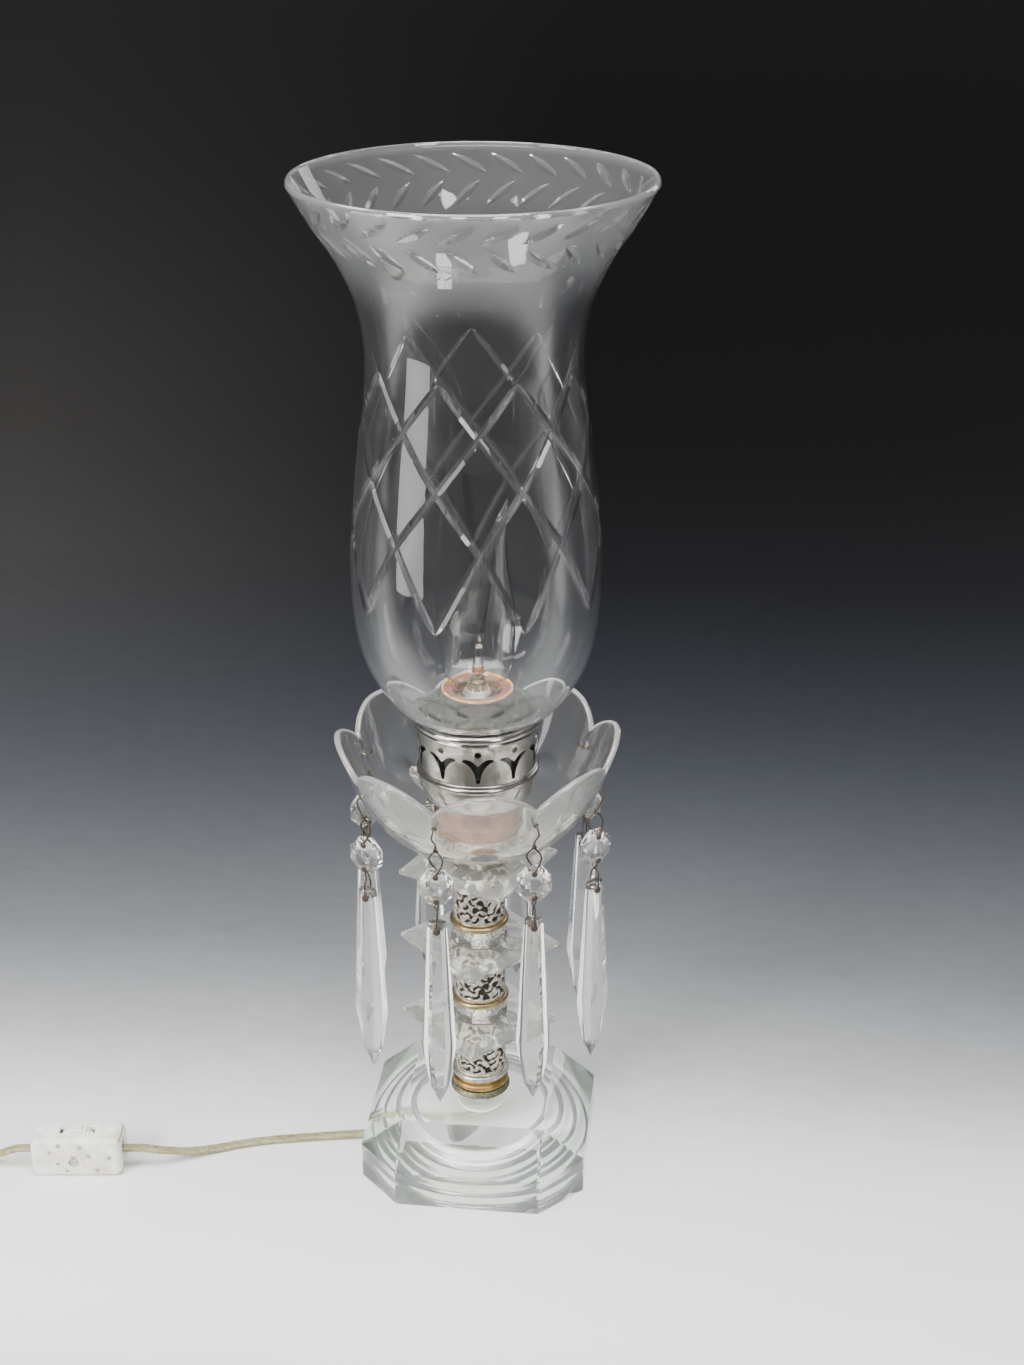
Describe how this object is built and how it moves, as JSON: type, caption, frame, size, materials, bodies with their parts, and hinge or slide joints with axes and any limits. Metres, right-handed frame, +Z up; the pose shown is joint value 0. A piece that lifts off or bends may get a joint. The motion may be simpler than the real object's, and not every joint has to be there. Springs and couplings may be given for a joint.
{
  "type": "boudoir table lamp",
  "caption": "Table lamp with a clear flared glass shade, pierced shade holder, scalloped glass dish hung with cut prisms, glass and filigree column, cut-glass base and cord with switch.",
  "frame": {"origin": "middle of the glass base's underside, on the lamp's axis, at table level", "axes": "+Z up along the column; the front of the lamp faces -Y; the cord leaves towards -X"},
  "size_m": [0.4924, 0.1768, 0.5598],
  "materials": {
    "base_glass": "polished",
    "crystal": "polished",
    "shade_glass": "polished",
    "nickel": "polished",
    "aged_silver": "antique",
    "aged_brass": "antique",
    "tarnished_metal": "tarnished",
    "copper_enamel": "satin",
    "steel": "plain",
    "socket_grey": "dull",
    "fibre": "matte",
    "phenolic": "matte",
    "bronze_wire": "dark patina",
    "cord_vinyl": "satin",
    "white_plastic": "satin"
  },
  "bodies": {
    "lamp": {"glass_base": "base_glass", "base_nut": "steel", "lamp_pipe": "steel", "foot_flange": "tarnished_metal", "foot_cap": "aged_brass", "column_ring_3": "aged_silver", "filigree_sleeve_3": "aged_silver", "glass_break_3": "crystal", "column_ring_2": "aged_brass", "filigree_sleeve_2": "aged_silver", "glass_break_2": "crystal", "column_ring_1": "aged_brass", "filigree_sleeve_1": "aged_silver", "glass_break_1": "crystal", "dish_seat": "aged_brass", "dish": "shade_glass", "copper_band": "copper_enamel", "shade_holder": "nickel", "socket_cap": "socket_grey", "socket_shell": "socket_grey", "socket_liner": "fibre", "socket_body": "phenolic", "screw_shell": "aged_brass", "cord_lead": "cord_vinyl", "switch_front": "white_plastic", "switch_back": "white_plastic", "cord_tail": "cord_vinyl", "cord_coil": "cord_vinyl", "plug_body": "white_plastic", "plug_blade_1": "aged_brass", "plug_blade_2": "aged_brass"},
    "shade": {"shade": "shade_glass"},
    "bulb": {"bulb_glass": "shade_glass", "bulb_cap": "aged_brass", "bulb_stem": "shade_glass"},
    "switch_wheel": {"switch_wheel": "white_plastic"},
    "bead_1": {"hanger_wire_1": "bronze_wire", "crystal_bead_1": "crystal"},
    "prism_1": {"prism_1": "crystal"},
    "bead_2": {"hanger_wire_2": "bronze_wire", "crystal_bead_2": "crystal"},
    "prism_2": {"prism_2": "crystal"},
    "bead_3": {"hanger_wire_3": "bronze_wire", "crystal_bead_3": "crystal"},
    "prism_3": {"prism_3": "crystal"},
    "bead_4": {"hanger_wire_4": "bronze_wire", "crystal_bead_4": "crystal"},
    "prism_4": {"prism_4": "crystal"},
    "bead_5": {"hanger_wire_5": "bronze_wire", "crystal_bead_5": "crystal"},
    "prism_5": {"prism_5": "crystal"},
    "bead_6": {"hanger_wire_6": "bronze_wire", "crystal_bead_6": "crystal"},
    "prism_6": {"prism_6": "crystal"},
    "bead_7": {"hanger_wire_7": "bronze_wire", "crystal_bead_7": "crystal"},
    "prism_7": {"prism_7": "crystal"},
    "bead_8": {"hanger_wire_8": "bronze_wire", "crystal_bead_8": "crystal"},
    "prism_8": {"prism_8": "crystal"}
  },
  "joints": [
    {"name": "shade_lift", "type": "slide", "parent": "lamp", "child": "shade", "axis": [0, 0, 1], "range_m": [0, 0.16]},
    {"name": "bulb_screw", "type": "hinge", "parent": "lamp", "child": "bulb", "pos_m": [0, 0, 0.28], "axis": [0, 0, 1], "continuous": true},
    {"name": "wheel_turn", "type": "hinge", "parent": "lamp", "child": "switch_wheel", "pos_m": [-0.2265, -0.04995, 0.0168], "axis": [-0.1132, 0.9936, 0], "continuous": true},
    {"name": "bead_swing_1", "type": "hinge", "parent": "lamp", "child": "bead_1", "pos_m": [-0.01372, -0.06455, 0.245], "axis": [-0.9781, 0.2079, 0], "range_deg": [-4, 20]},
    {"name": "prism_swing_1", "type": "hinge", "parent": "bead_1", "child": "prism_1", "pos_m": [-0.01372, -0.06455, 0.2028], "axis": [-0.9781, 0.2079, 0], "range_deg": [-3, 18]},
    {"name": "bead_swing_2", "type": "hinge", "parent": "lamp", "child": "bead_2", "pos_m": [0.03594, -0.05535, 0.245], "axis": [-0.8387, -0.5446, 0], "range_deg": [-4, 20]},
    {"name": "prism_swing_2", "type": "hinge", "parent": "bead_2", "child": "prism_2", "pos_m": [0.03594, -0.05535, 0.2028], "axis": [-0.8387, -0.5446, 0], "range_deg": [-3, 18]},
    {"name": "bead_swing_3", "type": "hinge", "parent": "lamp", "child": "bead_3", "pos_m": [0.06455, -0.01372, 0.245], "axis": [-0.2079, -0.9781, 0], "range_deg": [-4, 20]},
    {"name": "prism_swing_3", "type": "hinge", "parent": "bead_3", "child": "prism_3", "pos_m": [0.06455, -0.01372, 0.2028], "axis": [-0.2079, -0.9781, 0], "range_deg": [-3, 18]},
    {"name": "bead_swing_4", "type": "hinge", "parent": "lamp", "child": "bead_4", "pos_m": [0.05535, 0.03594, 0.245], "axis": [0.5446, -0.8387, 0], "range_deg": [-4, 20]},
    {"name": "prism_swing_4", "type": "hinge", "parent": "bead_4", "child": "prism_4", "pos_m": [0.05535, 0.03594, 0.2028], "axis": [0.5446, -0.8387, 0], "range_deg": [-3, 18]},
    {"name": "bead_swing_5", "type": "hinge", "parent": "lamp", "child": "bead_5", "pos_m": [0.01372, 0.06455, 0.245], "axis": [0.9781, -0.2079, 0], "range_deg": [-4, 20]},
    {"name": "prism_swing_5", "type": "hinge", "parent": "bead_5", "child": "prism_5", "pos_m": [0.01372, 0.06455, 0.2028], "axis": [0.9781, -0.2079, 0], "range_deg": [-3, 18]},
    {"name": "bead_swing_6", "type": "hinge", "parent": "lamp", "child": "bead_6", "pos_m": [-0.03594, 0.05535, 0.245], "axis": [0.8387, 0.5446, 0], "range_deg": [-4, 20]},
    {"name": "prism_swing_6", "type": "hinge", "parent": "bead_6", "child": "prism_6", "pos_m": [-0.03594, 0.05535, 0.2028], "axis": [0.8387, 0.5446, 0], "range_deg": [-3, 18]},
    {"name": "bead_swing_7", "type": "hinge", "parent": "lamp", "child": "bead_7", "pos_m": [-0.06455, 0.01372, 0.245], "axis": [0.2079, 0.9781, 0], "range_deg": [-4, 20]},
    {"name": "prism_swing_7", "type": "hinge", "parent": "bead_7", "child": "prism_7", "pos_m": [-0.06455, 0.01372, 0.2028], "axis": [0.2079, 0.9781, 0], "range_deg": [-3, 18]},
    {"name": "bead_swing_8", "type": "hinge", "parent": "lamp", "child": "bead_8", "pos_m": [-0.05535, -0.03594, 0.245], "axis": [-0.5446, 0.8387, 0], "range_deg": [-4, 20]},
    {"name": "prism_swing_8", "type": "hinge", "parent": "bead_8", "child": "prism_8", "pos_m": [-0.05535, -0.03594, 0.2028], "axis": [-0.5446, 0.8387, 0], "range_deg": [-3, 18]}
  ]
}
